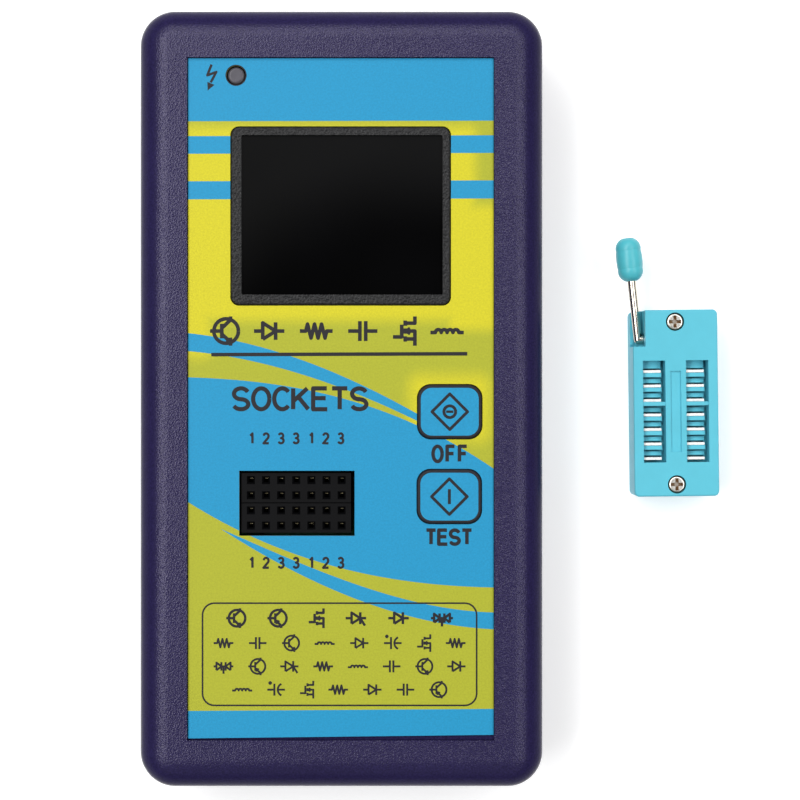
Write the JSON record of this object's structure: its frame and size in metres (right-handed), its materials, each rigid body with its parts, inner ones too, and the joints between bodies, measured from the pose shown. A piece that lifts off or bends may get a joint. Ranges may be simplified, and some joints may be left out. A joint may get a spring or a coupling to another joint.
{
  "type": "component tester",
  "caption": "Hand-held electronic component tester with a display, socket strips, two keys and a battery door, and its plug-in lever test socket beside it.",
  "frame": {"origin": "centre of the tester's flat rear face, on the surface it lies on", "axes": "+X to the tester's right seen from the front, +Y towards the display end, +Z out of the front panel"},
  "size_m": [0.0999, 0.1316, 0.025],
  "materials": {
    "case_purple": "fine moulded grain",
    "door_purple": "fine moulded grain",
    "film": "printed matt film",
    "bezel": "dark grained",
    "window": "clear, near black behind",
    "lcd": "dark display",
    "backlight": "white light guide",
    "flex": "amber film",
    "header_black": "black moulding",
    "contact": "plated",
    "key_film": "printed matt film",
    "switch_black": "black moulding",
    "plunger": "brown moulding",
    "tin": "tinned",
    "led": "diffused lens",
    "board": "green solder mask",
    "chip": "black epoxy",
    "can": "bright can",
    "battery": "printed metal jacket",
    "snap": "black moulding",
    "foam": "soft foam",
    "lead_red": "insulation",
    "lead_black": "insulation",
    "screw": "zinc plated",
    "zif_teal": "smooth moulding",
    "steel": "nickel plated rod"
  },
  "bodies": {
    "tester": {"front_case": "case_purple", "rear_case": "case_purple", "overlay_film": "film", "display_bezel": "bezel", "display_window": "window", "lcd_panel": "lcd", "lcd_backlight": "backlight", "lcd_flex": "flex", "test_header_upper": "header_black", "test_header_lower": "header_black", "header_contacts": "contact", "off_switch_body": "switch_black", "test_switch_body": "switch_black", "off_switch_legs": "tin", "test_switch_legs": "tin", "indicator_led": "led", "main_board": "board", "microcontroller": "chip", "microcontroller_leads": "tin", "voltage_regulator": "chip", "crystal": "can", "electrolytic_capacitors": "can", "chip_resistors": "chip", "battery_9v": "battery", "battery_terminals": "tin", "battery_snap": "snap", "battery_foam": "foam", "battery_lead_red": "lead_red", "battery_lead_black": "lead_black", "case_screws": "screw", "board_screws": "screw"},
    "off_key": {"off_key_cap": "key_film", "off_switch_plunger": "plunger"},
    "test_key": {"test_key_cap": "key_film", "test_switch_plunger": "plunger"},
    "battery_door": {"battery_door": "door_purple"},
    "lever_socket": {"zif_base": "zif_teal", "zif_cover": "zif_teal", "zif_contacts": "contact", "zif_cover_screws": "screw"},
    "zif_lever": {"zif_lever_rod": "steel", "zif_lever_knob": "zif_teal"},
    "zif_slider": {"zif_slider": "zif_teal"}
  },
  "joints": [
    {"name": "off_key_press", "type": "slide", "parent": "tester", "child": "off_key", "axis": [0, 0, -1], "range_m": [0, 0.0003], "stiffness_N_per_m": 5000},
    {"name": "test_key_press", "type": "slide", "parent": "tester", "child": "test_key", "axis": [0, 0, -1], "range_m": [0, 0.0003], "stiffness_N_per_m": 5000},
    {"name": "battery_door_slide", "type": "slide", "parent": "tester", "child": "battery_door", "axis": [0, -1, 0], "range_m": [0, 0.032]},
    {"name": "socket_lift", "type": "slide", "parent": "tester", "child": "lever_socket", "axis": [0, 0, 1], "range_m": [0, 0.05]},
    {"name": "zif_lever_pivot", "type": "hinge", "parent": "lever_socket", "child": "zif_lever", "pos_m": [0.05185, 0.01039, 0.0073], "axis": [0.9999, 0.0122, 0], "range_deg": [0, 85]},
    {"name": "zif_slider_shift", "type": "slide", "parent": "lever_socket", "child": "zif_slider", "axis": [0.0122, -0.9999, 0], "range_m": [0, 0.00025]}
  ],
  "couplings": [
    {"joint": "zif_lever_pivot", "follows": "zif_slider_shift", "rad_per_m": 5934.1}
  ]
}
